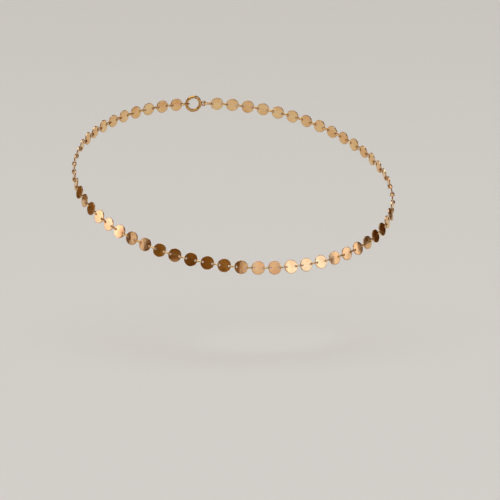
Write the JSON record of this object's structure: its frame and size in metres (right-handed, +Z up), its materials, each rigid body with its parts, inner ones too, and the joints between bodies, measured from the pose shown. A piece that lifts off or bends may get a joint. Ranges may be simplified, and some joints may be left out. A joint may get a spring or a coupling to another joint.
{
  "type": "coin choker necklace",
  "caption": "Choker necklace of small flat gold discs side by side, each pierced twice and joined to the next by an oval wire link, closed at the nape by a plain ring clasp.",
  "frame": {"origin": "the middle of the neck opening, level with the middle of the loop", "axes": "-Y out of the wearer's throat, +Z up along the neck, +X towards the wearer's left"},
  "size_m": [0.1114, 0.1057, 0.0505],
  "materials": {
    "gold_disc": "gold plated, stamped and mirror polished",
    "gold_wire": "gold plated drawn wire, polished"
  },
  "bodies": {
    "root": {"disc_01": "gold_disc", "disc_02": "gold_disc", "disc_03": "gold_disc", "disc_04": "gold_disc", "disc_05": "gold_disc", "disc_06": "gold_disc", "disc_07": "gold_disc", "disc_08": "gold_disc", "disc_09": "gold_disc", "disc_10": "gold_disc", "disc_11": "gold_disc", "disc_12": "gold_disc", "disc_13": "gold_disc", "disc_14": "gold_disc", "disc_15": "gold_disc", "disc_16": "gold_disc", "disc_17": "gold_disc", "disc_18": "gold_disc", "disc_19": "gold_disc", "disc_20": "gold_disc", "disc_21": "gold_disc", "link_01": "gold_wire", "link_02": "gold_wire", "link_03": "gold_wire", "link_04": "gold_wire", "link_05": "gold_wire", "link_06": "gold_wire", "link_07": "gold_wire", "link_08": "gold_wire", "link_09": "gold_wire", "link_10": "gold_wire", "link_11": "gold_wire", "link_12": "gold_wire", "link_13": "gold_wire", "link_14": "gold_wire", "link_15": "gold_wire", "link_16": "gold_wire", "link_17": "gold_wire", "link_18": "gold_wire", "link_19": "gold_wire", "link_20": "gold_wire", "back_chain_left": "gold_disc", "back_chain_right": "gold_disc", "clasp": "gold_wire"}
  },
  "joints": []
}
